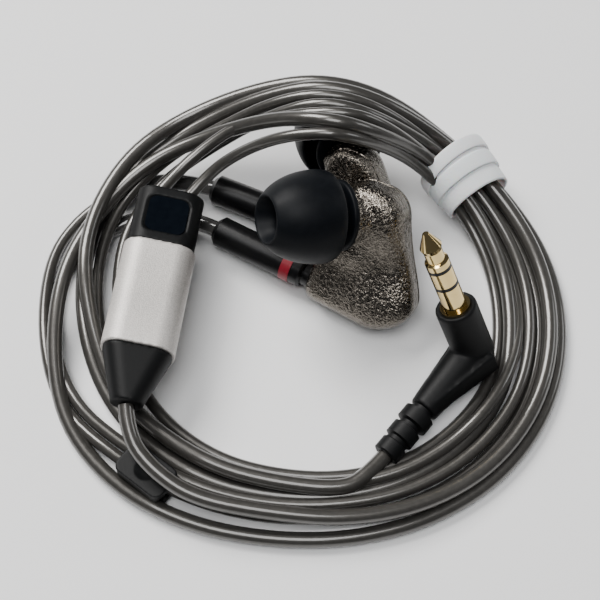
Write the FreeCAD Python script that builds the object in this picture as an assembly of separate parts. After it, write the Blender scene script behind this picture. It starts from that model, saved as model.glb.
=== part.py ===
import FreeCAD, Part
import math
import os
from FreeCAD import Matrix, Placement, Vector

# In-ear monitors with their cable coiled round them, in millimetres.
# Places are given from the centre of the cable coil, with the table at z = 0. The part's origin is on the
# table under the middle of the two earpieces, and every piece is moved there as it is written.
ORIGIN = Vector(5.05, 13.45, 0.0)

# Cable
MAIN_D = 2.3            # plug to splitter
BRANCH_D = 1.8          # splitter to each earpiece
HOOK_D = 2.6            # shrink sleeve that forms the ear hook

# Coil: station angle, inner and outer radius, underside, top, and how much higher its inner side lies
COIL_STATIONS = [
    (0.0, 29.6, 39.8, 0.0, 5.4, 0.0), (14.0, 29.6, 39.4, 0.2, 6.0, 0.0), (26.0, 29.6, 38.6, 1.0, 7.2, 0.0),
    (32.0, 29.4, 37.8, 1.8, 8.0, 0.4), (42.0, 26.0, 37.0, 5.4, 11.6, 2.4), (52.0, 19.8, 36.0, 10.6, 17.0, 4.4),
    (64.0, 16.8, 34.8, 14.2, 20.2, 4.2), (78.0, 16.2, 33.8, 15.6, 21.4, 3.2),
    (94.0, 16.8, 34.6, 14.4, 20.2, 3.2), (110.0, 20.0, 35.8, 8.8, 15.0, 2.8), (130.0, 25.2, 38.0, 3.4, 9.4, 1.0),
    (150.0, 26.8, 39.4, 0.0, 5.6, 0.0), (170.0, 26.8, 40.2, 0.0, 5.2, 0.0), (190.0, 26.8, 40.0, 0.0, 5.2, 0.0),
    (210.0, 26.8, 40.0, 0.0, 5.2, 0.0), (230.0, 26.8, 40.0, 0.0, 5.2, 0.0), (250.0, 26.8, 39.4, 0.0, 5.2, 0.0),
    (270.0, 26.8, 39.2, 0.0, 5.2, 0.0), (290.0, 27.2, 40.2, 0.0, 5.2, 0.0), (312.0, 29.0, 41.0, 0.0, 5.2, 0.0),
    (336.0, 31.0, 40.6, 0.0, 5.2, 0.0)]
COIL_CHAMFER = 1.6
TIE_ANGLES = (32.0, 42.0)
TIE_WALL = 0.9
POCKET_GAP = 0.5        # clearance where the coil goes round another piece

# Earpiece, in its own frame: the connector's axis is X and points into the shell, the shell lies along
# the XY plane, and the ear is on the +Z side of the right one
SHELL_OUTLINE = [(-0.2, -2.5), (17.0, -3.1), (9.9, 18.8), (0.9, 18.2)]
SHELL_RADII = [2.2, 5.0, 4.3, 4.3]
SHELL_BACK, SHELL_SPLIT, SHELL_EAR = -3.0, -1.5, 3.6
SHELL_WALL = 0.7
BACK_ROUND, EAR_ROUND = 1.5, 2.4
NOZZLE_DIR = Vector(-0.63, -0.076, 0.773)
TIP_SEAT = Vector(1.3, 13.0, 4.3)        # centre of the tip's skirt on the nozzle's axis
NOZZLE_ROOT_R, NOZZLE_COLLAR_R, NOZZLE_R, NOZZLE_BORE_R = 4.5, 4.2, 2.9, 2.3
NOZZLE_ROOT, NOZZLE_COLLAR, NOZZLE_END = -6.0, -1.9, 4.4
MESH_T = 0.15
DAMPER_R, DAMPER_AT, DAMPER_T = 1.2, 0.6, 1.2
DRIVER_AT = Vector(8.4, 5.4, 0.0)
DRIVER_R, DRIVER_WALL, DRIVER_BACK, DRIVER_FRONT = 3.5, 0.35, -2.0, 1.5
YOKE_R, YOKE_GAP_R, YOKE_T, YOKE_TOP = 2.7, 2.2, 0.5, 0.3
MAGNET_R, MAGNET_TOP = 1.6, 0.3
COIL_R, COIL_WALL, COIL_LOW, COIL_TOP = 1.8, 0.2, -0.6, 0.7
CONE_R, CONE_T, CONE_DOME = 3.0, 0.1, 0.35
VENT_R, VENT_SCREEN_R, VENT_SCREEN_T = 0.5, 1.1, 0.12
SOCKET_R, SOCKET_BORE_R, SOCKET_MOUTH, SOCKET_LENGTH = 1.9, 1.25, 0.3, 3.4
PIN_R, PIN_REACH, PIN_FLANGE_R, PIN_FLANGE_T, PIN_GAP = 1.2, 2.2, 1.8, 1.2, 0.2
PIN_TAIL = 1.2
BARREL_R, BARREL_NECK_R, BARREL_LENGTH, BARREL_ROUND = 2.4, 2.1, 15.6, 0.7
RING_START, RING_WIDTH, RING_R = 1.8, 1.6, 2.48

# Ear tip, along its own axis from the skirt's rim
TIP_OUTER = [(0.0, 6.7), (2.6, 6.85), (6.0, 6.45), (8.8, 5.15), (10.4, 3.9)]
TIP_LIP = [(10.85, 3.4), (10.6, 3.0)]
TIP_THROAT_R, TIP_THROAT = 2.0, 9.4
TIP_WALL = 0.6
TIP_STEM_R, TIP_BORE_R, TIP_SEAT_DEPTH = 3.7, 3.0, 4.8
TIP_FLANGE_R, TIP_FLANGE_T, TIP_START, TIP_GAP = 4.25, 0.9, -1.8, 0.1

# Where the earpieces lie: connector point, way into the shell, and the shell's ear side
RIGHT_AT, RIGHT_IN, RIGHT_EAR = Vector(1.7, 3.75, 3.82), Vector(0.871, -0.491, 0.0), Vector(-0.407, -0.722, 0.559)
LEFT_AT, LEFT_IN, LEFT_EAR = Vector(1.6, 12.7, 3.62), Vector(0.91, -0.415, 0.0), Vector(0.361, 0.789, -0.497)

# Splitter: end of its taper, way along it, and its sections
SPLIT_AT, SPLIT_WAY, SPLIT_TOP = Vector(-24.4, -19.9, 9.1), Vector(0.14, 0.99, 0.0), Vector(0.17, -0.024, 0.985)
TAPER_LENGTH, SLEEVE_LENGTH, HEAD_LENGTH = 8.2, 16.9, 9.3
SLEEVE_SIZE, SLEEVE_ROUND, SLEEVE_WALL = (10.8, 7.2), 3.0, 0.8
HEAD_SIZE, HEAD_ROUND = (9.0, 6.6), 2.4
TAPER_END_R = 2.3
PANEL_SIZE, PANEL_ROUND, PANEL_DEPTH, PANEL_T = 6.0, 1.3, 0.5, 0.3
BOARD_SIZE = (14.0, 6.0, 0.8)
BRANCH_SPACING = 4.2

# Chin slider on the two branches
SLIDER_AT, SLIDER_ANGLE = Vector(-21.6, -27.8, 2.7), 232.0
SLIDER_SIZE, SLIDER_ROUND = (8.4, 5.2, 4.2), 1.3
SLIDER_HOLE_R, SLIDER_HOLE_SPACING, SLIDER_DIMPLE_R = 1.05, 2.3, 3.0
SLIDER_TRAVEL, SLIDER_CLEARANCE = 2.0, 0.4

# Plug: elbow, way of the pin and way of the cable arm
ELBOW, PIN_WAY, ARM_WAY = Vector(25.6, -8.8, 3.9), Vector(-0.36, 0.327, 0.876), Vector(-0.642, -0.766, -0.062)
BODY_R, BODY_LENGTH = 3.1, 9.4
ARM_END_R, ARM_LENGTH = 2.2, 12.2
RELIEF_R, RELIEF_CORE_R, RELIEF_END_R, RELIEF_LENGTH, RELIEF_RIBS = 2.4, 1.7, 2.0, 8.8, 3
COLLAR_R, COLLAR_T = 2.25, 0.6
JACK_R, JACK_LENGTH, JACK_CORE_R = 1.75, 14.0, 0.6
JACK_SLEEVE_END, JACK_GAP, JACK_RING_END = 4.15, 0.6, 7.4
JACK_TIP = [(0.9, 1.75), (1.1, 1.35), (2.9, 1.35), (3.6, 1.6), (6.0, 0.45)]

# Routes of the cable where it isn't coiled
HOOK_ROUTE_RIGHT = [(-12.85, 11.95, 3.82), (-17.2, 14.3, 3.4), (-22.4, 15.6, 2.3), (-28.0, 14.4, 1.5)]
HOOK_ROUTE_LEFT = [(-13.6, 19.63, 3.62), (-18.6, 21.5, 3.0), (-24.2, 21.8, 1.9), (-29.2, 19.8, 1.5)]
RIGHT_BRANCH_ROUTE = [(-17.5, 13.8, 9.2), (-14.0, 17.8, 10.8), (-9.1, 20.7, 13.8), (-3.5, 21.6, 17.6)]
LEFT_BRANCH_ROUTE = [(-21.7, 14.4, 9.9), (-18.4, 18.8, 10.3), (-14.2, 22.0, 12.0), (-9.0, 24.2, 14.8)]
MAIN_ROUTE = [(-24.4, -19.9, 9.1), (-24.0, -24.2, 8.4), (-20.6, -28.6, 7.2), (-14.8, -31.8, 5.6)]
PLUG_ROUTE = [(12.1, -24.9, 2.6), (9.6, -27.9, 3.1), (6.2, -30.2, 3.2)]

pieces = {}


def axis_frame(origin, x_axis, z_axis):
    """Placement with X near x_axis and Z exactly along z_axis."""
    z = Vector(z_axis).normalize()
    y = z.cross(x_axis).normalize()
    x = y.cross(z)
    return Placement(Matrix(x.x, y.x, z.x, origin.x, x.y, y.y, z.y, origin.y, x.z, y.z, z.z, origin.z,
                            0, 0, 0, 1))


def along(origin, way, distance):
    return origin + Vector(way).normalize() * distance


def rounded_wire(corners, radii, z):
    """Closed outline with each corner replaced by its own arc."""
    edges, ends = [], []
    for i, corner in enumerate(corners):
        before, here, after = [Vector(*corners[k % len(corners)], z) for k in (i - 1, i, i + 1)]
        back, on = (before - here).normalize(), (after - here).normalize()
        half = back.getAngle(on) / 2
        reach = radii[i] / math.tan(half)
        middle = here + (back + on).normalize() * (radii[i] / math.sin(half) - radii[i])
        start, end = here + back * reach, here + on * reach
        if ends:
            edges.append(Part.LineSegment(ends[-1], start).toShape())
        edges.append(Part.Arc(start, middle, end).toShape())
        ends.append(end)
    first = edges[0].Vertexes[0].Point
    edges.append(Part.LineSegment(ends[-1], first).toShape())
    return Part.Wire(edges)


def slab(corners, radii, low, high):
    return Part.Face(rounded_wire(corners, radii, low)).extrude(Vector(0, 0, high - low))


def inset_outline(corners, distance):
    """The same corners moved inwards by the given distance from every side."""
    moved = []
    for i, corner in enumerate(corners):
        before, here, after = [Vector(*corners[k % len(corners)], 0) for k in (i - 1, i, i + 1)]
        back, on = (before - here).normalize(), (after - here).normalize()
        half = back.getAngle(on) / 2
        point = here + (back + on).normalize() * (distance / math.sin(half))
        moved.append((point.x, point.y))
    return moved


def rectangle(length, width):
    return [(-length / 2, -width / 2), (length / 2, -width / 2), (length / 2, width / 2), (-length / 2, width / 2)]


def rod(radius, start, end, at=Vector(0, 0, 0), way=Vector(0, 0, 1)):
    """Round bar between two distances along an axis."""
    return Part.makeCylinder(radius, end - start, along(at, way, start), Vector(way))


def tube(outer, inner, start, end, at=Vector(0, 0, 0), way=Vector(0, 0, 1)):
    return rod(outer, start, end, at, way).cut(rod(inner, start, end, at, way))


def turned(profile, at=Vector(0, 0, 0), way=Vector(0, 0, 1)):
    """Solid of revolution from (distance, radius) points, about an axis through at."""
    points = [Vector(radius, 0, distance) for distance, radius in profile]
    face = Part.Face(Part.makePolygon(points + points[:1]))
    solid = face.revolve(Vector(0, 0, 0), Vector(0, 0, 1), 360)
    return placed(solid, axis_frame(at, side_of(way), way))


def side_of(way):
    """Any direction square to an axis."""
    return Vector(way).cross(Vector(0.31, 0.52, 0.79)).normalize()


def placed(shape, placement):
    moved = shape.copy()
    moved.Placement = placement.multiply(moved.Placement)
    return moved


def round_edges(solid, radius, low, high):
    """Fillet every edge whose whole length lies between two heights."""
    edges = [e for e in solid.Edges if low - 1e-4 < e.BoundBox.ZMin and e.BoundBox.ZMax < high + 1e-4]
    return solid.makeFillet(radius, edges)


def cord_tube(name, route, diameter):
    """Tube along straight runs joined by tangent arcs, each arc as large as its two runs allow."""
    points = [Vector(*p) for p in route]
    edges, start, radii = [], points[0], []
    for before, here, after in zip(points, points[1:], points[2:]):
        back, on = before - here, after - here
        run = min(back.Length, on.Length)
        back.normalize()
        on.normalize()
        turn = math.pi - back.getAngle(on)
        reach = 0.45 * run
        radius = reach / math.tan(turn / 2)
        radii.append(radius)
        middle = here + (back + on).normalize() * (radius / math.cos(turn / 2) - radius)
        edges.append(Part.LineSegment(start, here + back * reach).toShape())
        edges.append(Part.Arc(here + back * reach, middle, here + on * reach).toShape())
        start = here + on * reach
    edges.append(Part.LineSegment(start, points[-1]).toShape())
    path = Part.Wire(edges)
    section = Part.Wire(Part.makeCircle(diameter / 2, points[0], points[1] - points[0]))
    solid = path.makePipeShell([section], True, True)
    expected = math.pi * diameter ** 2 / 4 * path.Length
    print(name, "length %.1f" % path.Length, "volume ratio %.3f" % (solid.Volume / expected),
          "arc radii", " ".join("%.1f" % r for r in radii))
    return solid


def build_earpiece(side, mirror, place):
    """Every piece of one earpiece, made for the right ear and mirrored for the left."""
    nozzle = NOZZLE_DIR
    own = {}

    # Housing and cover
    outer = slab(SHELL_OUTLINE, SHELL_RADII, SHELL_BACK, SHELL_EAR)
    outer = round_edges(outer, EAR_ROUND, SHELL_EAR, SHELL_EAR)
    outer = round_edges(outer, BACK_ROUND, SHELL_BACK, SHELL_BACK)
    inner_radii = [max(r - SHELL_WALL, 0.6) for r in SHELL_RADII]
    cavity = slab(inset_outline(SHELL_OUTLINE, SHELL_WALL), inner_radii, SHELL_BACK + SHELL_WALL,
                  SHELL_EAR - SHELL_WALL)
    cavity = round_edges(cavity, EAR_ROUND - SHELL_WALL, SHELL_EAR - SHELL_WALL, SHELL_EAR - SHELL_WALL)
    root = Part.makeCone(NOZZLE_ROOT_R, NOZZLE_COLLAR_R, NOZZLE_COLLAR - NOZZLE_ROOT,
                         along(TIP_SEAT, nozzle, NOZZLE_ROOT), nozzle)
    room = Part.makeBox(60, 60, 20, Vector(-30, -30, SHELL_BACK + BACK_ROUND))
    outer = outer.fuse(root.common(room)).cut(rod(TIP_FLANGE_R + TIP_GAP, TIP_START - TIP_GAP, 6, TIP_SEAT, nozzle))
    outer = outer.fuse(rod(NOZZLE_R, NOZZLE_COLLAR - 1, NOZZLE_END, TIP_SEAT, nozzle))
    bore = rod(NOZZLE_BORE_R, NOZZLE_ROOT, NOZZLE_END, TIP_SEAT, nozzle)
    socket_hole = rod(SOCKET_R, SOCKET_MOUTH - 1, SOCKET_MOUTH + SOCKET_LENGTH, way=Vector(1, 0, 0))
    hollow = outer.cut(cavity).cut(bore).cut(socket_hole)
    back_room = Part.makeBox(60, 60, 20, Vector(-30, -30, SHELL_SPLIT - 20))
    own["shell_front"] = hollow.cut(back_room)
    vent = rod(VENT_R, SHELL_BACK - 1, SHELL_BACK + SHELL_WALL + 1, DRIVER_AT)
    own["shell_cover"] = hollow.common(back_room).cut(vent)

    # Nozzle parts
    own["nozzle_mesh"] = rod(NOZZLE_R - 0.2, NOZZLE_END, NOZZLE_END + MESH_T, TIP_SEAT, nozzle)
    own["nozzle_damper"] = tube(NOZZLE_BORE_R, DAMPER_R, DAMPER_AT, DAMPER_AT + DAMPER_T, TIP_SEAT, nozzle)
    own["ear_tip"] = build_tip()

    # Driver: basket, yoke, magnet, moving coil and diaphragm, on a gasket over the vent
    own["driver_frame"] = tube(DRIVER_R, DRIVER_R - DRIVER_WALL, DRIVER_BACK, DRIVER_FRONT, DRIVER_AT)
    yoke = rod(DRIVER_R - DRIVER_WALL, DRIVER_BACK, DRIVER_BACK + YOKE_T, DRIVER_AT)
    own["driver_yoke"] = yoke.fuse(tube(YOKE_R, YOKE_GAP_R, DRIVER_BACK + YOKE_T, YOKE_TOP, DRIVER_AT))
    own["driver_magnet"] = rod(MAGNET_R, DRIVER_BACK + YOKE_T, MAGNET_TOP, DRIVER_AT)
    own["voice_coil"] = tube(COIL_R + COIL_WALL, COIL_R, COIL_LOW, COIL_TOP, DRIVER_AT)
    dome = [(COIL_TOP, 0.0), (COIL_TOP, CONE_R), (COIL_TOP + CONE_T, CONE_R), (COIL_TOP + CONE_T, COIL_R),
            (COIL_TOP + CONE_DOME, COIL_R / 2), (COIL_TOP + CONE_DOME, 0.0)]
    own["diaphragm"] = turned(dome, DRIVER_AT)
    own["driver_gasket"] = tube(DRIVER_R, CONE_R, SHELL_BACK + SHELL_WALL, DRIVER_BACK, DRIVER_AT)
    own["vent_screen"] = rod(VENT_SCREEN_R, SHELL_BACK + SHELL_WALL, SHELL_BACK + SHELL_WALL + VENT_SCREEN_T,
                             DRIVER_AT)

    # Connector: socket in the shell, pin, barrel and colour ring on the cable
    forward = Vector(1, 0, 0)
    origin = Vector(0, 0, 0)
    own["socket"] = tube(SOCKET_R, SOCKET_BORE_R, SOCKET_MOUTH, SOCKET_MOUTH + SOCKET_LENGTH, origin, forward)
    flange_end = SOCKET_MOUTH - PIN_GAP
    barrel_face = flange_end - PIN_FLANGE_T
    own["connector_pin"] = rod(PIN_R, barrel_face - PIN_TAIL, SOCKET_MOUTH + PIN_REACH, origin, forward)
    tail = barrel_face - BARREL_LENGTH
    ring_at = barrel_face - RING_START
    barrel = turned([(tail, 0), (tail, BARREL_R - BARREL_ROUND), (tail + BARREL_ROUND, BARREL_R),
                     (ring_at - RING_WIDTH, BARREL_R), (ring_at - RING_WIDTH, BARREL_NECK_R),
                     (ring_at, BARREL_NECK_R), (ring_at, BARREL_R), (barrel_face - BARREL_ROUND / 2, BARREL_R),
                     (barrel_face, BARREL_R - BARREL_ROUND / 2), (barrel_face, 0)], origin, forward)
    barrel = barrel.fuse(rod(PIN_FLANGE_R, barrel_face, flange_end, origin, forward))
    own["connector_barrel"] = barrel.cut(rod(PIN_R, barrel_face - PIN_TAIL, flange_end, origin, forward))
    own["color_ring"] = tube(RING_R, BARREL_NECK_R, ring_at - RING_WIDTH, ring_at, origin, forward)

    for name, shape in own.items():
        if mirror:
            shape = shape.mirror(Vector(0, 0, 0), Vector(0, 0, 1))
        pieces[side + "_" + name] = placed(shape, place)


def build_tip():
    """Silicone tip: dome and skirt round a stem that grips the nozzle."""
    outer = Part.BSplineCurve()
    outer.interpolate([Vector(r, 0, a) for a, r in TIP_OUTER])
    inner = Part.BSplineCurve()
    inner.interpolate([Vector(r - TIP_WALL, 0, a - (TIP_WALL if a > 6 else 0)) for a, r in TIP_OUTER])
    lip = [Vector(r, 0, a) for a, r in TIP_LIP]
    outer_end = Vector(TIP_OUTER[-1][1], 0, TIP_OUTER[-1][0])
    rim_out, rim_in = Vector(TIP_OUTER[0][1], 0, 0), Vector(TIP_OUTER[0][1] - TIP_WALL, 0, 0)
    inner_end = Vector(TIP_OUTER[-1][1] - TIP_WALL, 0, TIP_OUTER[-1][0] - TIP_WALL)
    path = [outer_end] + lip + [Vector(TIP_THROAT_R, 0, TIP_THROAT), Vector(TIP_THROAT_R, 0, TIP_SEAT_DEPTH),
                                Vector(TIP_BORE_R, 0, TIP_SEAT_DEPTH), Vector(TIP_BORE_R, 0, TIP_START),
                                Vector(TIP_FLANGE_R, 0, TIP_START), Vector(TIP_FLANGE_R, 0, TIP_START + TIP_FLANGE_T),
                                Vector(TIP_STEM_R, 0, TIP_START + TIP_FLANGE_T), Vector(TIP_STEM_R, 0, 7.6),
                                Vector(inner_end.x - 0.35, 0, 8.7), inner_end]
    edges = [outer.toShape()]
    edges += [Part.LineSegment(a, b).toShape() for a, b in zip(path, path[1:])]
    edges += [inner.toShape(), Part.LineSegment(rim_in, rim_out).toShape()]
    face = Part.Face(Part.Wire(Part.__sortEdges__(edges)))
    solid = face.revolve(Vector(0, 0, 0), Vector(0, 0, 1), 360)
    return placed(solid, axis_frame(TIP_SEAT, side_of(NOZZLE_DIR), NOZZLE_DIR))


def build_coil():
    """Outer shape of the wound cable: octagonal sections on stations round the ring."""
    return Part.makeLoft([bundle_section(row) for row in COIL_STATIONS], True, True, True)


def bundle_section(row, grown=0.0):
    """Octagon across the bundle at one station, with its inner side lifted where the cable lies on a tip."""
    angle, inner, outer, low, high, lift = row
    ray = Vector(math.cos(math.radians(angle)), math.sin(math.radians(angle)), 0)
    middle, half = (inner + outer) / 2, (outer - inner) / 2
    low, high, inner, outer, cut = low - grown, high + grown, inner - grown, outer + grown, COIL_CHAMFER
    corners = [(inner + cut, low), (outer - cut, low), (outer, low + cut), (outer, high - cut),
               (outer - cut, high), (inner + cut, high), (inner, high - cut), (inner, low + cut)]
    points = [ray * radius + Vector(0, 0, height + lift * (middle - radius) / half) for radius, height in corners]
    return Part.makePolygon(points + points[:1])


def build_tie():
    """Band of foam wrapped round the bundle between two stations."""
    rows = [row for row in COIL_STATIONS if row[0] in TIE_ANGLES]
    band = Part.makeLoft([bundle_section(row, TIE_WALL) for row in rows], True, True)
    return band.cut(Part.makeLoft([bundle_section(row) for row in rows], True, True))


def build_splitter():
    """Taper, sleeve and head along X, then turned to where the splitter lies."""
    place = axis_frame(SPLIT_AT, SPLIT_WAY, SPLIT_TOP)
    sleeve_end = TAPER_LENGTH + SLEEVE_LENGTH
    head_end = sleeve_end + HEAD_LENGTH

    def section(size, radius, at):
        wire = rounded_wire(rectangle(*size), [radius] * 4, 0)
        return placed(wire, axis_frame(Vector(at, 0, 0), Vector(0, 0, -1), Vector(1, 0, 0))
                      .multiply(Placement(Vector(0, 0, 0), FreeCAD.Rotation(Vector(0, 0, 1), 90))))

    def block(size, radius, start, end):
        return Part.Face(section(size, radius, start)).extrude(Vector(end - start, 0, 0))

    small = 2 * TAPER_END_R
    taper_size = (SLEEVE_SIZE[0] - 0.5, SLEEVE_SIZE[1] - 0.5)
    taper = Part.makeLoft([section((small, small), TAPER_END_R - 0.05, 0),
                           section(taper_size, SLEEVE_ROUND - 0.25, TAPER_LENGTH)], True, True)
    inside = (SLEEVE_SIZE[0] - 2 * SLEEVE_WALL, SLEEVE_SIZE[1] - 2 * SLEEVE_WALL)
    sleeve = block(SLEEVE_SIZE, SLEEVE_ROUND, TAPER_LENGTH, sleeve_end)
    sleeve = sleeve.cut(block(inside, SLEEVE_ROUND - SLEEVE_WALL, TAPER_LENGTH, sleeve_end))
    head = block(HEAD_SIZE, HEAD_ROUND, sleeve_end, head_end)
    top = HEAD_SIZE[1] / 2
    panel_corners = [(x + sleeve_end + HEAD_LENGTH / 2, y) for x, y in rectangle(PANEL_SIZE, PANEL_SIZE)]
    recess = slab(panel_corners, [PANEL_ROUND] * 4, top - PANEL_DEPTH, top + 1)
    panel = slab(panel_corners, [PANEL_ROUND] * 4, top - PANEL_DEPTH, top - PANEL_DEPTH + PANEL_T)
    board = Part.makeBox(*BOARD_SIZE, Vector(TAPER_LENGTH + 1.5, -BOARD_SIZE[1] / 2, -BOARD_SIZE[2] / 2))
    made = {"splitter_taper": taper, "splitter_sleeve": sleeve, "splitter_head": head.cut(recess),
            "splitter_panel": panel, "splitter_board": board}
    for name, shape in made.items():
        pieces[name] = placed(shape, place)


def slider_place():
    tangent = Vector(-math.sin(math.radians(SLIDER_ANGLE)), math.cos(math.radians(SLIDER_ANGLE)), 0)
    return axis_frame(SLIDER_AT, tangent, Vector(0, 0, 1))


def build_slider():
    """Small rounded block with a finger dimple and two holes for the branches."""
    length, width, height = SLIDER_SIZE
    body = slab(rectangle(length, width), [SLIDER_ROUND] * 4, -height / 2, height / 2)
    for side in (-1, 1):
        at = Vector(0, side * SLIDER_HOLE_SPACING / 2, -0.3)
        body = body.cut(rod(SLIDER_HOLE_R, -length, length, at, Vector(1, 0, 0)))
    ball = Part.makeSphere(SLIDER_DIMPLE_R, Vector(0, 0, height / 2 + SLIDER_DIMPLE_R - 0.5))
    pieces["chin_slider"] = placed(body.cut(ball), slider_place())


def slider_pocket():
    length, width, height = SLIDER_SIZE
    gap = SLIDER_CLEARANCE
    pocket = Part.makeBox(length + 2 * (SLIDER_TRAVEL + gap), width + 2 * gap, height + 20,
                          Vector(-length / 2 - SLIDER_TRAVEL - gap, -width / 2 - gap, -height / 2 - gap))
    return placed(pocket, slider_place())


def left_place():
    return axis_frame(LEFT_AT, LEFT_IN, LEFT_EAR * -1)


def tip_pocket():
    """Room in the coil for the left tip, and for pulling it off its nozzle."""
    nozzle = Vector(NOZZLE_DIR.x, NOZZLE_DIR.y, -NOZZLE_DIR.z)
    seat = Vector(TIP_SEAT.x, TIP_SEAT.y, -TIP_SEAT.z)
    return placed(rod(TIP_OUTER[1][1] + POCKET_GAP, NOZZLE_ROOT, 20, seat, nozzle), left_place())


def shell_pocket():
    """Room in the coil over the left shell's upper corners."""
    radii = [r + POCKET_GAP for r in SHELL_RADII]
    room = slab(inset_outline(SHELL_OUTLINE, -POCKET_GAP), radii, -SHELL_EAR - POCKET_GAP, -SHELL_BACK + POCKET_GAP)
    return placed(room, left_place())


def relief_pocket():
    """Room in the coil for the plug's strain relief."""
    return rod(RELIEF_R + POCKET_GAP, 0, ARM_LENGTH + RELIEF_LENGTH, ELBOW, ARM_WAY)


def build_plug():
    """Right-angled plug: jack, collar, moulded elbow and ribbed strain relief."""
    top = along(ELBOW, PIN_WAY, BODY_LENGTH)
    body = rod(BODY_R, 0, BODY_LENGTH, ELBOW, PIN_WAY).fuse(Part.makeSphere(BODY_R, ELBOW))
    arm = Part.makeCone(BODY_R, ARM_END_R, ARM_LENGTH, ELBOW, ARM_WAY)
    socket = rod(COLLAR_R, BODY_LENGTH - 0.4, BODY_LENGTH, ELBOW, PIN_WAY)
    pieces["plug_body"] = body.fuse(arm).cut(socket).removeSplitter()
    pieces["plug_collar"] = tube(COLLAR_R, JACK_CORE_R, -0.4, COLLAR_T - 0.4, top, PIN_WAY)

    pitch = RELIEF_LENGTH / RELIEF_RIBS
    profile = [(0.0, 0.0)]
    for i in range(RELIEF_RIBS):
        rib = RELIEF_R - (RELIEF_R - RELIEF_END_R) * i / (RELIEF_RIBS - 1)
        profile += [(i * pitch, RELIEF_CORE_R), (i * pitch + 0.6, RELIEF_CORE_R), (i * pitch + 0.8, rib),
                    ((i + 1) * pitch - 0.2, rib), ((i + 1) * pitch, RELIEF_CORE_R)]
    profile.append((RELIEF_LENGTH, 0.0))
    pieces["plug_relief"] = turned(profile, along(ELBOW, ARM_WAY, ARM_LENGTH), ARM_WAY)

    base = along(top, PIN_WAY, COLLAR_T - 0.4)
    ring_start = JACK_SLEEVE_END + JACK_GAP
    tip_start = JACK_RING_END + JACK_GAP
    pieces["plug_sleeve"] = tube(JACK_R, JACK_CORE_R, 0, JACK_SLEEVE_END, base, PIN_WAY)
    pieces["plug_ring"] = tube(JACK_R, JACK_CORE_R, ring_start, JACK_RING_END, base, PIN_WAY)
    gaps = [tube(JACK_R, JACK_CORE_R, start, start + JACK_GAP, base, PIN_WAY)
            for start in (JACK_SLEEVE_END, JACK_RING_END)]
    pieces["plug_insulators"] = Part.makeCompound(gaps)
    pieces["plug_core"] = rod(JACK_CORE_R, -COLLAR_T, tip_start, base, PIN_WAY)
    profile = [(0.0, 0.0), (0.0, JACK_R)] + JACK_TIP + [(JACK_LENGTH - tip_start, 0.0)]
    pieces["plug_tip"] = turned(profile, along(base, PIN_WAY, tip_start), PIN_WAY)


build_earpiece("right", False, axis_frame(RIGHT_AT, RIGHT_IN, RIGHT_EAR))
build_earpiece("left", True, left_place())
build_splitter()
build_slider()
build_plug()
pieces["cable_tie"] = build_tie()
pieces["right_ear_hook"] = cord_tube("right_ear_hook", HOOK_ROUTE_RIGHT, HOOK_D)
pieces["left_ear_hook"] = cord_tube("left_ear_hook", HOOK_ROUTE_LEFT, HOOK_D)
pieces["right_branch_lead"] = cord_tube("right_branch_lead", RIGHT_BRANCH_ROUTE, BRANCH_D)
pieces["left_branch_lead"] = cord_tube("left_branch_lead", LEFT_BRANCH_ROUTE, BRANCH_D)
pieces["main_lead"] = cord_tube("main_lead", MAIN_ROUTE, MAIN_D)
pieces["plug_lead"] = cord_tube("plug_lead", PLUG_ROUTE, MAIN_D)
pieces["cable_coil"] = build_coil().cut(slider_pocket()).cut(tip_pocket()).cut(shell_pocket())
pieces["cable_coil"] = pieces["cable_coil"].cut(relief_pocket())

os.makedirs("parts", exist_ok=True)
for name, shape in pieces.items():
    shape = shape.copy()
    shape.translate(ORIGIN * -1)
    shape.exportStep("parts/%s.step" % name)
    box = shape.BoundBox
    print("%-22s solids %d valid %s vol %8.2f  box %.2f..%.2f %.2f..%.2f %.2f..%.2f" % (
        name, len(shape.Solids), shape.isValid(), shape.Volume,
        box.XMin, box.XMax, box.YMin, box.YMax, box.ZMin, box.ZMax))
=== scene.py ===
import bmesh
import bpy
from math import cos, exp, pi, radians, sin, sqrt
from mathutils import Matrix, Vector


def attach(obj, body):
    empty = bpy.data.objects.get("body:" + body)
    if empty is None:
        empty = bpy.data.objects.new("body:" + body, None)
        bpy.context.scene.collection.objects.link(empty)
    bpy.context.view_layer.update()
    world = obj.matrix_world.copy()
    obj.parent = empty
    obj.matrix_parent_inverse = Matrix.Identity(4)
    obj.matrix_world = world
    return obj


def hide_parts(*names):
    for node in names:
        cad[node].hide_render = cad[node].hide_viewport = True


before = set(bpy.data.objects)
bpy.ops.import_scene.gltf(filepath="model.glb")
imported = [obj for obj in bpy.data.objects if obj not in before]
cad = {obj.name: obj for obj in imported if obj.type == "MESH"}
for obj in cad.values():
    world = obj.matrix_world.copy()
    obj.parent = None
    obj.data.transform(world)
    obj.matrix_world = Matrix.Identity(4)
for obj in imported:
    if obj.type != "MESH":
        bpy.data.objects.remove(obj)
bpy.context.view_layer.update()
scene = bpy.context.scene
mm = 0.001
coilCentre = (5.05, 13.45)     # what the row's origin is off the coil's centre, in millimetres


def row(x, y, z):     # from millimetres off the coil's centre to metres
    return Vector((x - coilCentre[0], y - coilCentre[1], z)) * mm


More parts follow.
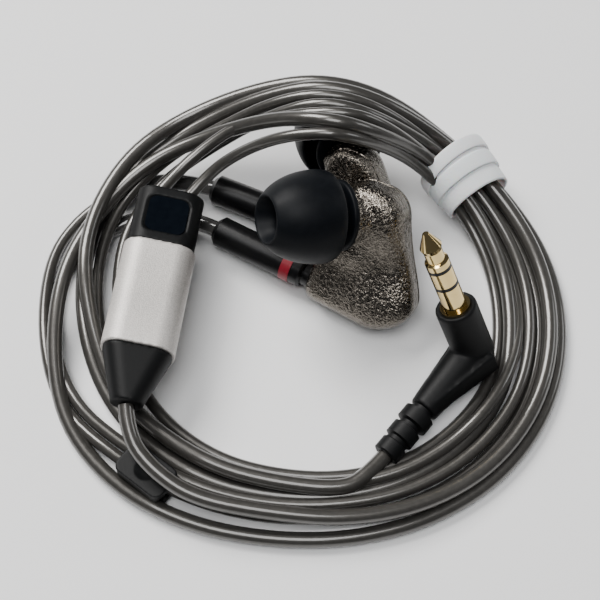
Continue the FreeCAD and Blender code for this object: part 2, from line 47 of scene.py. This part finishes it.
class Field:     # a socket that takes part in sums
    def __init__(self, tree, socket):
        self.tree, self.socket = tree, socket

    def maths(self, operation, *others, clamp=False):
        node = self.tree.nodes.new("ShaderNodeMath")
        node.operation, node.use_clamp = operation, clamp
        for value, socket in zip((self,) + others, node.inputs):
            feed(self.tree, value, socket)
        return Field(self.tree, node.outputs[0])

    def __add__(self, other):
        return self.maths("ADD", other)

    def __mul__(self, other):
        return self.maths("MULTIPLY", other)

    def __sub__(self, other):
        return self.maths("SUBTRACT", other)

    def __rsub__(self, other):
        return self * -1.0 + other

    __radd__, __rmul__ = __add__, __mul__

    def ramp(self, low, high):
        return ((self - low) * (1.0 / (high - low))).maths("ADD", 0.0, clamp=True)


def feed(tree, value, socket):
    if isinstance(value, Field):
        tree.links.new(value.socket, socket)
    else:
        socket.default_value = value


def makeNode(tree, kind, inputs=(), output=0, **settings):
    node = tree.nodes.new("ShaderNode" + kind)
    for name, value in settings.items():
        setattr(node, name, value)
    for name, value in dict(inputs).items():
        feed(tree, value, node.inputs[name])
    return Field(tree, node.outputs[output])


class Finish:     # uniform values go on the shader, fields go to the sockets that may vary
    def __init__(self, name, **uniform):
        self.material = bpy.data.materials.new(name)
        self.material.use_nodes = True
        self.tree = self.material.node_tree
        self.shader = self.tree.nodes["Principled BSDF"]
        for key, value in uniform.items():
            socket = key.replace("_", " ").title().replace("Ior", "IOR")
            self.shader.inputs[socket].default_value = value
        self.place = makeNode(self.tree, "TexCoord", output=3)

    def noise(self, perMetre, detail=3.0, distortion=0.0, roughness=0.5):
        return makeNode(self.tree, "TexNoise", {
            "Vector": self.place, "Scale": perMetre, "Detail": detail,
            "Distortion": distortion, "Roughness": roughness})

    def pits(self, perMetre):
        return makeNode(self.tree, "TexVoronoi", {"Vector": self.place, "Scale": perMetre},
                        feature="SMOOTH_F1")

    def colour(self, factor, low, high):
        node = self.tree.nodes.new("ShaderNodeMix")
        node.data_type = "RGBA"
        feed(self.tree, factor, node.inputs[0])
        node.inputs[6].default_value, node.inputs[7].default_value = low + (1,), high + (1,)
        self.tree.links.new(node.outputs[2], self.shader.inputs["Base Color"])

    def vary(self, socket, field):
        feed(self.tree, field, self.shader.inputs[socket])

    def bump(self, height, depth, strength=1.0):
        node = self.tree.nodes.new("ShaderNodeBump")
        node.inputs["Strength"].default_value, node.inputs["Distance"].default_value = strength, depth
        feed(self.tree, height, node.inputs["Height"])
        self.tree.links.new(node.outputs[0], self.shader.inputs["Normal"])


def makeSilicone():
    look = Finish("silicone", metallic=0.0, specular_ior_level=0.13)
    dust = look.noise(900.0, 4.0)
    look.colour(dust, (0.0014, 0.0020, 0.0030), (0.0030, 0.0040, 0.0058))
    look.vary("Roughness", dust * 0.16 + 0.40)
    look.bump(look.noise(9000.0, 2.0), 0.00002, 0.5)
    return look.material


def makeShellMetal():
    look = Finish("shellMetal", metallic=1.0)
    crease = look.noise(1900.0, 2.0, 1.0, 0.5)
    grain = look.noise(5600.0, 3.0, 0.4)
    pits = look.pits(3000.0)
    # painted shade: the colour follows the crease bumps, darker in the creases and lighter on the crests,
    # over a random tone
    toneAndBumpShade = (look.noise(200.0, 2.0) * 0.25 + crease * 0.8).ramp(0.30, 0.78)
    look.colour(toneAndBumpShade, (0.085, 0.076, 0.065), (0.27, 0.243, 0.208))
    look.vary("Roughness", crease * 0.10 + grain * 0.06 + 0.14)
    look.bump(crease + grain * 0.06 + pits * 0.25, 0.00021, 1.0)
    return look.material


def makeJacket():
    look = Finish("cableJacket", metallic=0.55, coat_roughness=0.07, coat_weight=0.8)
    long = look.noise(60.0, 2.0)
    fine = look.noise(1400.0, 3.0)
    look.colour(long * 0.6 + fine * 0.4, (0.036, 0.034, 0.031), (0.096, 0.091, 0.083))
    look.vary("Roughness", fine * 0.14 + 0.27)
    look.bump(look.noise(700.0, 2.0), 0.00004, 0.5)
    return look.material


def makePlastic(name, low, high, rough, grainPerMetre, shine=0.2):
    look = Finish(name, metallic=0.0, specular_ior_level=shine)
    grain = look.noise(grainPerMetre, 3.0)
    look.colour(grain, low, high)
    look.vary("Roughness", grain * 0.12 + rough)
    look.bump(look.noise(grainPerMetre * 2.0, 2.0), 0.00002, 0.5)
    return look.material


def makeAluminium():
    look = Finish("blastedAluminium", metallic=0.6)
    grit = look.noise(7000.0, 3.0)
    # painted shade and painted glints: the colour follows the grit bumps, darker in their hollows and lighter
    # on their crests, over a random tone
    toneAndBumpShade = (look.noise(90.0, 2.0) * 0.3 + grit * 0.7).ramp(0.35, 0.65)
    look.colour(toneAndBumpShade, (0.47, 0.448, 0.425), (0.74, 0.712, 0.68))
    look.vary("Roughness", grit * 0.14 + 0.46)
    look.bump(grit, 0.00006, 0.8)
    return look.material


def makePlated(name, low, high, rough):
    look = Finish(name, metallic=1.0)
    smear = look.noise(500.0, 3.0, 0.3)
    look.colour(smear, low, high)
    look.vary("Roughness", smear * 0.1 + rough)
    look.bump(look.noise(2500.0, 2.0), 0.000004, 0.4)
    return look.material


def makeFoam():
    look = Finish("tieFoam", metallic=0.0, sheen_weight=0.2, subsurface_weight=0.15, subsurface_scale=0.001)
    pores = look.pits(3800.0)
    look.colour(look.noise(300.0, 2.0), (0.70, 0.72, 0.735), (0.80, 0.815, 0.825))
    look.vary("Roughness", pores * 0.2 + 0.6)
    look.bump(pores * 0.6 + look.noise(900.0, 3.0) * 0.6, 0.00010, 0.6)
    return look.material


def makeSleeve():
    look = Finish("hookSleeve", metallic=0.0, coat_weight=1.0, coat_roughness=0.06)
    haze = look.noise(400.0, 3.0)
    look.colour(haze, (0.030, 0.030, 0.030), (0.085, 0.082, 0.078))
    look.vary("Roughness", haze * 0.15 + 0.12)
    look.bump(look.noise(500.0, 2.0), 0.00008, 0.5)
    return look.material


def makeTable():
    look = Finish("table", metallic=0.0, specular_ior_level=0.25)
    cloud = look.noise(14.0, 3.0)
    look.colour(cloud, (0.86, 0.862, 0.865), (0.90, 0.902, 0.905))
    look.vary("Roughness", cloud * 0.1 + 0.5)
    look.bump(look.noise(2200.0, 3.0), 0.00003, 0.3)
    return look.material


silicone = makeSilicone()
shellMetal = makeShellMetal()
jacket = makeJacket()
softBlack = makePlastic("softBlack", (0.0012, 0.0014, 0.0016), (0.0034, 0.0037, 0.004), 0.44, 3200.0)
hardBlack = makePlastic("hardBlack", (0.0015, 0.0015, 0.0018), (0.004, 0.004, 0.0045), 0.26, 1500.0, 0.3)
panelBlack = makePlastic("panelBlack", (0.0015, 0.0024, 0.0042), (0.003, 0.0046, 0.0075), 0.12, 900.0, 0.12)
redRing = makePlastic("redRing", (0.18, 0.007, 0.016), (0.28, 0.014, 0.028), 0.30, 1500.0, 0.4)
board = makePlastic("circuitBoard", (0.02, 0.10, 0.05), (0.04, 0.16, 0.08), 0.35, 900.0)
aluminium = makeAluminium()
gold = makePlated("goldPlate", (0.62, 0.46, 0.19), (0.80, 0.62, 0.31), 0.06)
steel = makePlated("steelPlate", (0.42, 0.42, 0.43), (0.60, 0.60, 0.62), 0.26)
copper = makePlated("copperWire", (0.60, 0.26, 0.15), (0.80, 0.38, 0.24), 0.22)
foam = makeFoam()
sleeve = makeSleeve()
table = makeTable()
print("finishes ready")

cadFinishes = {
    "shell_front": shellMetal, "shell_cover": shellMetal, "nozzle_mesh": steel, "nozzle_damper": hardBlack,
    "ear_tip": silicone, "driver_frame": gold, "driver_yoke": steel, "driver_magnet": steel,
    "driver_gasket": silicone, "vent_screen": hardBlack, "socket": gold, "connector_pin": gold,
    "connector_barrel": hardBlack, "color_ring": redRing, "ear_hook": sleeve, "diaphragm": steel,
    "voice_coil": copper, "splitter_panel": panelBlack, "splitter_board": board, "plug_collar": gold,
    "plug_sleeve": gold, "plug_ring": gold, "plug_insulators": hardBlack, "plug_core": copper,
    "plug_tip": gold, "splitter_sleeve": aluminium, "plug_relief": softBlack}
for name, node in cad.items():
    kind = name.replace("right_", "").replace("left_", "")
    finish = cadFinishes.get(kind, softBlack)
    if name == "left_color_ring":
        finish = hardBlack
    node.data.materials.clear()
    node.data.materials.append(finish)
print("CAD nodes finished")


bundle = [     # angle, radius of the first and last lane, height they rest on, rise of the middle lanes
    (0, 30.4, 39.8, 0.0, 0.0, 0.0), (20, 30.2, 38.6, 0.6, 0.5, 0.0), (36, 29.6, 36.4, 3.6, 2.6, 0.0),
    (46, 28.8, 35.6, 6.6, 4.5, 0.0), (55, 22.2, 34.4, 18.2, 8.8, 0.4), (64, 18.2, 33.0, 21.6, 12.2, 1.0),
    (78, 17.2, 31.8, 21.8, 15.0, 1.4), (92, 17.6, 32.4, 20.4, 13.6, 1.0), (108, 20.6, 34.0, 14.6, 9.0, 0.4),
    (124, 24.6, 36.0, 7.8, 5.4, 0.0), (140, 26.8, 37.4, 4.0, 3.4, 0.0), (152, 27.2, 38.0, 2.9, 2.6, 0.0),
    (168, 27.2, 37.6, 1.9, 1.9, 0.0), (184, 27.2, 37.4, 0.6, 0.9, 0.0), (215, 27.4, 39.0, 0.0, 0.0, 0.0),
    (250, 27.4, 37.8, 0.0, 0.0, 0.0), (270, 27.4, 36.9, 0.0, 0.0, 0.0), (296, 29.4, 38.6, 0.0, 0.0, 0.0),
    (312, 30.2, 39.8, 0.0, 0.0, 0.0), (336, 31.2, 40.2, 0.0, 0.0, 0.0), (360, 30.4, 39.8, 0.0, 0.0, 0.0)]

# Angle, lane in the bundle, and how far the cord rides over the others: 0 on the table, 1 on a cord
mainLanes = [
    (262, 4.3, 1.7), (285, 4.8, 0.9), (312, 5.0, 0.0), (438, 5.0, 0.0), (500, 4.3, 0.0), (592, 2.3, 0.0),
    (640, 2.0, 0.0), (668, 1.8, 0.0), (720, 1.0, 0.0), (798, 1.0, 0.0), (842, 2.2, 0.9), (868, 3.6, 1.0),
    (900, 5.2, 1.0), (916, 6.1, 0.9), (934, 6.4, 0.0), (990, 6.0, 0.0), (1158, 6.0, 0.0), (1195, 5.6, 0.5),
    (1222, 4.6, 1.6), (1250, 3.3, 1.9), (1282, 2.0, 1.0), (1312, 1.2, 0.8), (1344, 1.3, 0.7)]
rightLanes = [
    (196, 6.2, 0.0), (214, 4.6, 0.2), (226, 3.5, 0.4), (240, 3.3, 0.4), (262, 3.0, 0.0), (438, 3.0, 0.0),
    (500, 1.4, 0.0), (560, 0.0, 0.0), (798, 0.0, 0.0)]
leftLanes = [
    (196, 6.9, 0.0), (214, 5.8, 0.2), (226, 4.6, 0.45), (240, 4.4, 0.45), (262, 4.0, 0.0), (438, 4.0, 0.0),
    (500, 3.0, 0.0), (592, 1.2, 0.0), (640, 1.0, 0.0), (668, 1.0, 0.3), (690, 1.3, 1.0), (716, 1.9, 0.4),
    (740, 2.0, 0.0), (798, 2.0, 0.3)]


cords = {
    "mainDiameter": 2.3, "branchDiameter": 1.8, "hookDiameter": 2.6,
    "laneSpan": 6,           # lanes from the bundle's first to its last
    "touching": 4.3,         # squared distance of two cords that touch, side by side
    "over": 2.05,            # height that a cord gains by crossing another
    "turnStep": 18.0}        # degrees from point to point of a turn


def between(rows, at):     # the row at a given first value, eased from one row to the next
    for before, after in zip(rows, rows[1:]):
        if before[0] <= at <= after[0]:
            share = (at - before[0]) / (after[0] - before[0])
            share = share * share * (3 - 2 * share)
            return [a + (b - a) * share for a, b in zip(before[1:], after[1:])]
    return list(rows[-1][1:] if at > rows[-1][0] else rows[0][1:])


def coilTurns(lanes, start, end, diameter):     # points round the coil, resting on what lies under them
    points = []
    count = round((end - start) / cords["turnStep"])
    for i in range(count + 1):
        angle = start + (end - start) * i / count
        lane, over = between(lanes, angle)
        first, last, low, high, crown = between(bundle, angle % 360)
        pitch = (last - first) / cords["laneSpan"]
        beside = abs(lane - 2 * round(lane / 2))     # 0 on the lower cords' lanes, 1 between them
        nested = sqrt(max(cords["touching"] - pitch * pitch, 0.0)) * beside
        distance = first + pitch * lane
        share = min(lane / cords["laneSpan"], 1.0)
        ground = low + (high - low) * share + 4 * crown * share * (1 - share)
        height = ground + diameter / 2 + nested + over * cords["over"]
        ray = radians(angle)
        points.append((distance * cos(ray), distance * sin(ray), height))
    return points


def cordCurve(name, points, diameter, finish):
    data = bpy.data.curves.new(name, "CURVE")
    data.dimensions = "3D"
    spline = data.splines.new("NURBS")
    spline.points.add(len(points) - 1)
    for point, place in zip(spline.points, points):
        point.co = (*row(*place), 1)
    spline.order_u = 3
    spline.use_endpoint_u = True
    data.resolution_u = 6
    data.bevel_depth = diameter / 2 * mm
    data.bevel_resolution = 6
    data.use_fill_caps = True
    piece = bpy.data.objects.new(name, data)
    scene.collection.objects.link(piece)
    data.materials.append(finish)
    return piece


rightHookRoute = [(-12.85, 11.95, 3.82), (-17.2, 14.3, 3.4), (-22.4, 15.6, 2.3), (-28.0, 14.4, 1.5)]
leftHookRoute = [(-13.6, 19.63, 3.62), (-18.6, 21.5, 3.0), (-24.2, 21.8, 1.9), (-29.2, 19.8, 1.5)]
rightLead = [(-17.5, 13.8, 9.2), (-14.0, 17.6, 10.8), (-9.6, 18.8, 14.4), (-4.2, 17.9, 19.6)]
leftLead = [(-21.7, 14.4, 9.9), (-18.4, 18.8, 10.3), (-14.2, 22.0, 12.0), (-9.0, 24.2, 14.8)]
mainLead = [(-24.4, -19.9, 9.1), (-24.0, -24.2, 8.4), (-20.6, -28.6, 7.2), (-14.8, -32.4, 5.9)]
plugLead = [(12.1, -24.9, 2.6), (9.6, -27.9, 3.1), (6.2, -30.2, 3.2)]

mainPoints = mainLead + coilTurns(mainLanes, 262, 1344, cords["mainDiameter"]) + plugLead[::-1]
rightPoints = (rightHookRoute + [(-33.4, 11.2, 1.0), (-37.4, 4.6, 0.9)]
               + coilTurns(rightLanes, 188, 806, cords["branchDiameter"]) + rightLead[::-1])
leftPoints = (leftHookRoute + [(-34.6, 16.0, 1.0), (-38.9, 8.6, 0.9)]
              + coilTurns(leftLanes, 188, 796, cords["branchDiameter"]) + leftLead[::-1])

mainCable = cordCurve("mainCable", mainPoints, cords["mainDiameter"], jacket)
rightCable = cordCurve("rightCable", rightPoints, cords["branchDiameter"], jacket)
leftCable = cordCurve("leftCable", leftPoints, cords["branchDiameter"], jacket)


def hookCurve(name, route, beyond):     # sleeve over a branch's start, up to half way to its next point
    last = tuple((a + b) / 2 for a, b in zip(route[-1], beyond))
    piece = cordCurve(name, route + [last], cords["hookDiameter"], sleeve)
    piece.data.bevel_resolution = 8
    return piece


rightHook = hookCurve("rightHook", rightHookRoute, rightPoints[4])
leftHook = hookCurve("leftHook", leftHookRoute, leftPoints[4])
for piece in (mainCable, rightCable, leftCable, rightHook, leftHook):
    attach(piece, "cable")
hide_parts("cable_coil", "main_lead", "plug_lead")
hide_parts("right_branch_lead")
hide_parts("left_branch_lead")
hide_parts("right_ear_hook")
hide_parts("left_ear_hook")
print("cords laid")


def finishPiece(piece, finish, body, slotName, *replaced):
    piece.data.materials.clear()
    piece.data.materials.append(finish)
    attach(piece, body)
    if replaced:
        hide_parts(*replaced)


def addPiece(name, bm):
    bmesh.ops.recalc_face_normals(bm, faces=bm.faces)
    mesh = bpy.data.meshes.new(name)
    bm.to_mesh(mesh)
    bm.free()
    for face in mesh.polygons:
        face.use_smooth = True
    piece = bpy.data.objects.new(name, mesh)
    scene.collection.objects.link(piece)
    return piece


def relax(bm, passes):
    for _ in range(passes):
        bmesh.ops.smooth_vert(bm, verts=bm.verts, factor=0.5,
                              use_axis_x=True, use_axis_y=True, use_axis_z=True)


def softened(name, source, voxel, passes, extra=None, sculpt=None):     # a node's skin, edges rounded
    bm = bmesh.new()
    bm.from_mesh(cad[source].data)
    if extra:
        extra(bm)
    rough = addPiece(name + "Rough", bm)
    remesh = rough.modifiers.new("skin", "REMESH")
    remesh.mode, remesh.voxel_size = "VOXEL", voxel * mm
    mesh = bpy.data.meshes.new_from_object(rough.evaluated_get(bpy.context.evaluated_depsgraph_get()))
    bpy.data.objects.remove(rough)
    bm = bmesh.new()
    bm.from_mesh(mesh)
    relax(bm, passes)
    if sculpt:
        for vert in bm.verts:
            vert.co = sculpt(vert.co)
        relax(bm, 3)     # takes off the marks that the sculpting leaves
    return addPiece(name, bm)


def axisFrame(at, xAxis, zAxis):     # a piece's own millimetres to metres, Z along zAxis and X near xAxis
    z = Vector(zAxis).normalized()
    y = z.cross(Vector(xAxis)).normalized()
    x = y.cross(z)
    turn = Matrix((x, y, z)).transposed().to_4x4()
    return Matrix.Translation(row(*at)) @ turn @ Matrix.Scale(mm, 4)


nozzleWay = Vector((-0.63, -0.076, 0.773)).normalized()
tipSeat = Vector((1.3, 13.0, 4.3))
acrossHint = Vector((0.31, 0.52, 0.79))     # any way that isn't the nozzle's
mirrored = Matrix.Scale(-1, 4, (0, 0, 1))
rightFrame = axisFrame((1.7, 3.75, 3.82), (0.871, -0.491, 0), (-0.407, -0.722, 0.559))
leftFrame = axisFrame((1.6, 12.7, 3.62), (0.91, -0.415, 0), (-0.361, -0.789, 0.497)) @ mirrored

shellShape = {
    # Dents and swellings of the side that faces the ear: along and up the shell, reach, height
    "hollows": [(12.4, 8.0, 4.2, -1.5), (5.9, 8.0, 2.0, 0.45), (3.2, 5.0, 2.2, -0.5), (9.0, 1.5, 3.0, 0.35),
                (8.6, 13.5, 3.0, 0.5)],
    "below": 0.6, "depth": 3.4,                              # where the dents fade in, towards the ear
    "cornerFrom": 5.0, "cornerOver": 9.0,                    # where along the shell its corner fills out
    "cornerAt": 4.0, "cornerReach": 6.5,                     # and where up the shell
    "leanFrom": 6.0, "leanOver": 12.0, "leanWidth": 9.9,     # where up and along the shell its top leans in
    "lowerFrom": 9.0,                                        # above this its top is shortened
    "voxel": 0.22, "passes": {"front": 6, "cover": 3},
    "right": {"fuller": 1.6, "lean": 0.0, "lower": 0.0},     # fuller corner, leaning top, shorter top
    "left": {"fuller": 0.0, "lean": 3.2, "lower": 0.3}}


def sculptShell(side, place):
    back, shape, own = place.inverted(), shellShape, shellShape[side]

    def moved(co):
        spot = back @ co
        fade = min(max((spot.z + shape["below"]) / shape["depth"], 0.0), 1.0)
        for x, y, reach, height in shape["hollows"]:
            near = ((spot.x - x) ** 2 + (spot.y - y) ** 2) / reach ** 2
            spot.z += height * fade * exp(-near)
        corner = max((spot.x - shape["cornerFrom"]) / shape["cornerOver"], 0.0)
        spot.x += own["fuller"] * corner * exp(-(((spot.y - shape["cornerAt"]) / shape["cornerReach"]) ** 2))
        rise = max((spot.y - shape["leanFrom"]) / shape["leanOver"], 0.0)
        spot.x -= own["lean"] * rise * max(spot.x / shape["leanWidth"], 0.0)
        spot.y -= own["lower"] * max(spot.y - shape["lowerFrom"], 0.0)
        return place @ spot

    return moved


for side, place in (("right", rightFrame), ("left", leftFrame)):
    for part, passes in shellShape["passes"].items():
        node = side + "_shell_" + part
        shell = softened(side + part.title() + "Shell", node, shellShape["voxel"], passes,
                         sculpt=sculptShell(side, place))
        finishPiece(shell, shellMetal, side + "_earpiece", "shell_metal", node)
print("shells done")

tipShape = {     # radius and height above the seat, in millimetres
    "outer": [(6.62, 1.2), (6.82, 1.9), (6.86, 3.0), (6.72, 4.6), (6.36, 6.3), (5.76, 7.9), (4.95, 9.3),
              (4.15, 10.2)],
    "mouth": [(3.66, 10.72), (3.36, 10.74), (3.16, 10.45), (2.75, 9.6), (2.2, 8.6), (2.0, 7.9), (2.0, 5.0)],
    "stem": [(2.98, 4.9), (3.0, -1.75), (3.2, -1.86), (4.9, -1.8), (5.2, -1.6), (5.25, -1.0), (5.0, -0.75),
             (3.9, -0.6), (3.7, 0.2), (3.72, 7.0), (4.0, 8.1), (4.4, 8.5), (5.2, 7.6), (5.8, 6.1),
             (6.15, 4.4), (6.26, 2.8), (6.2, 1.8), (6.16, 1.2), (6.24, 1.04), (6.5, 1.04)],
    "steps": 40}


def makeTip(side, place):
    bm = bmesh.new()
    profile = tipShape["outer"] + tipShape["mouth"] + tipShape["stem"]
    verts = [bm.verts.new((r, 0, a)) for r, a in profile]
    edges = [bm.edges.new((a, b)) for a, b in zip(verts, verts[1:] + verts[:1])]
    bmesh.ops.spin(bm, geom=verts + edges, cent=(0, 0, 0), axis=(0, 0, 1), angle=2 * pi,
                   steps=tipShape["steps"], use_merge=True, use_duplicate=False)
    across = nozzleWay.cross(acrossHint).normalized()
    up = nozzleWay.cross(across)
    own = Matrix((across, up, nozzleWay)).transposed().to_4x4()
    bmesh.ops.transform(bm, matrix=place @ Matrix.Translation(tipSeat) @ own, verts=bm.verts)
    tip = addPiece(side + "Tip", bm)
    smooth = tip.modifiers.new("smooth", "SUBSURF")
    smooth.levels = smooth.render_levels = 2
    finishPiece(tip, silicone, side + "_tip", "silicone", side + "_ear_tip")


makeTip("right", rightFrame)
makeTip("left", leftFrame)
print("tips done")

splitter = {
    "at": mainLead[0], "way": (0.14, 0.99, 0.0), "top": (0.17, -0.024, 0.985), "headWiden": 1.12,
    # Piece: CAD node, voxel, softening passes, finish, slot
    "splitTaper": ("splitter_taper", 0.22, 5, softBlack, "soft_black"),
    "splitHead": ("splitter_head", 0.18, 3, softBlack, "soft_black"),
    "splitSleeve": ("splitter_sleeve", 0.2, 3, aluminium, "champagne_aluminium")}
splitFrame = axisFrame(splitter["at"], splitter["way"], splitter["top"])


def widenHead(co):
    spot = splitFrame.inverted() @ co
    spot.y *= splitter["headWiden"]
    return splitFrame @ spot


splitPieces = []
for name in ("splitTaper", "splitHead", "splitSleeve"):
    node, voxel, passes, finish, slotName = splitter[name]
    piece = softened(name, node, voxel, passes, sculpt=widenHead if name == "splitHead" else None)
    finishPiece(piece, finish, "cable", slotName, node)
    splitPieces.append(piece)
sliderSkin = {"voxel": 0.16, "passes": 4}
slider = softened("slider", "chin_slider", sliderSkin["voxel"], sliderSkin["passes"])
finishPiece(slider, softBlack, "chin_slider", "soft_black", "chin_slider")
print("splitter and slider done")

gusset = {
    "elbow": (25.6, -8.8, 3.9), "pinWay": (-0.36, 0.327, 0.876), "armWay": (-0.642, -0.766, -0.062),
    "start": -0.4, "end": 11.0, "width": 8.2, "height": 3.1, "drop": -0.9,
    "narrowing": 0.50, "thinning": 0.25, "rising": 0.3, "voxel": 0.2, "passes": 12}


def addGusset(bm):     # flat wedge moulded under the arm, widest at the elbow
    made = bmesh.ops.create_cube(bm, size=1.0)["verts"]
    for vert in made:
        along = vert.co.x + 0.5
        width = gusset["width"] * (1 - along * gusset["narrowing"])
        height = gusset["height"] * (1 - along * gusset["thinning"])
        drop = gusset["drop"] * (1 - along * gusset["rising"])
        vert.co = Vector((gusset["start"] + along * (gusset["end"] - gusset["start"]), vert.co.y * width,
                          vert.co.z * height + drop))
    bmesh.ops.transform(bm, matrix=axisFrame(gusset["elbow"], gusset["armWay"], gusset["pinWay"]), verts=made)


plugBody = softened("plugBody", "plug_body", gusset["voxel"], gusset["passes"], extra=addGusset)
finishPiece(plugBody, softBlack, "cable", "soft_black", "plug_body")
print("plug done")

tie = {
    "angle": 38.0, "radius": 32.4, "height": 6.3, "across": 5.3, "up": 4.0, "wraps": 4.0, "width": 3.6,
    "pitch": 1.35, "start": -4.2, "thickness": 0.4, "stepsPerWrap": 30, "cells": 6,
    "seam": 4.7,         # where round the bundle the tape starts, in radians: underneath
    "climb": 0.32,       # rise of the bundle along the tie
    "thicker": 0.22,     # growth from wrap to wrap
    "slant": 0.9, "edgeDip": 0.10, "narrowing": 0.12}


def makeTie():     # foam tape wound round the bundle in overlapping, slanting wraps
    ray = radians(tie["angle"])
    outward = Vector((cos(ray), sin(ray), 0))
    onward = Vector((-sin(ray), cos(ray), tie["climb"])).normalized()
    centre = outward * tie["radius"] + Vector((0, 0, tie["height"]))
    bm = bmesh.new()
    bmesh.ops.create_grid(bm, x_segments=round(tie["wraps"] * tie["stepsPerWrap"]), y_segments=tie["cells"],
                          size=0.5)
    for vert in bm.verts:     # x runs along the tape, y across it
        turn, edge = (vert.co.x + 0.5) * tie["wraps"], vert.co.y
        angle = 2 * pi * turn + tie["seam"]
        grow = tie["thicker"] * turn
        ring = outward * (tie["across"] + grow) * cos(angle) + Vector((0, 0, tie["up"] + grow)) * sin(angle)
        dip = ring.normalized() * (-tie["edgeDip"] * (2 * edge) ** 4)
        slide = tie["start"] + tie["pitch"] * turn + tie["slant"] * sin(angle * 0.5 + 1.0)
        width = tie["width"] * (1 - tie["narrowing"] * turn)
        vert.co = row(*(centre + ring + dip + onward * (slide + width * (edge + 0.5))))
    piece = addPiece("tieBand", bm)
    smooth = piece.modifiers.new("smooth", "SUBSURF")
    smooth.levels = smooth.render_levels = 1
    thick = piece.modifiers.new("thick", "SOLIDIFY")
    thick.thickness, thick.offset = tie["thickness"] * mm, 0.0
    finishPiece(piece, foam, "cable", "tie_foam", "cable_tie")
    return piece


tieBand = makeTie()
print("tie done")

splitPieces += [cad["splitter_panel"], cad["splitter_board"]]
row(*mainLead[0])
row(*rightHookRoute[0])
row(*leftHookRoute[0])

room = {
    "tableHalf": 1.5, "sky": (0.93, 0.95, 1.0, 1), "skyStrength": 0.10,
    "lens": 80.0, "sensor": 36.0, "eye": (0.0, -94.6, 181.0), "tilt": 28.0}     # degrees from straight down

bm = bmesh.new()
bmesh.ops.create_grid(bm, x_segments=2, y_segments=2, size=room["tableHalf"])
floor = addPiece("tableTop", bm)
floor.data.materials.append(table)

lights = {     # place and target in metres, size, watts, tint
    "window": ((-0.42, 0.42, 0.72), (0.0, 0.0, 0.01), 0.46, 12.5, (1.0, 0.985, 0.965)),
    "overhead": ((-0.10, -0.22, 0.95), (0.0, 0.0, 0.0), 0.50, 6.2, (1.0, 1.0, 1.0)),
    "right": ((0.75, 0.25, 0.45), (0.0, 0.0, 0.01), 0.30, 1.0, (0.97, 0.985, 1.0))}
for name, (place, target, size, power, tint) in lights.items():
    data = bpy.data.lights.new(name, "AREA")
    data.shape, data.size, data.energy, data.color = "SQUARE", size, power, tint
    lamp = bpy.data.objects.new(name, data)
    lamp.location = place
    lamp.rotation_euler = (Vector(target) - Vector(place)).to_track_quat("-Z", "Y").to_euler()
    scene.collection.objects.link(lamp)

world = bpy.data.worlds.new("room")
world.use_nodes = True
world.node_tree.nodes["Background"].inputs["Color"].default_value = room["sky"]
world.node_tree.nodes["Background"].inputs["Strength"].default_value = room["skyStrength"]
scene.world = world

camera = bpy.data.objects.new("camera", bpy.data.cameras.new("camera"))
camera.data.lens, camera.data.sensor_width, camera.data.clip_start = room["lens"], room["sensor"], 0.01
camera.location = row(*room["eye"])
camera.rotation_euler = (radians(room["tilt"]), 0.0, 0.0)
scene.collection.objects.link(camera)
scene.camera = camera
print("table, lights and camera placed")
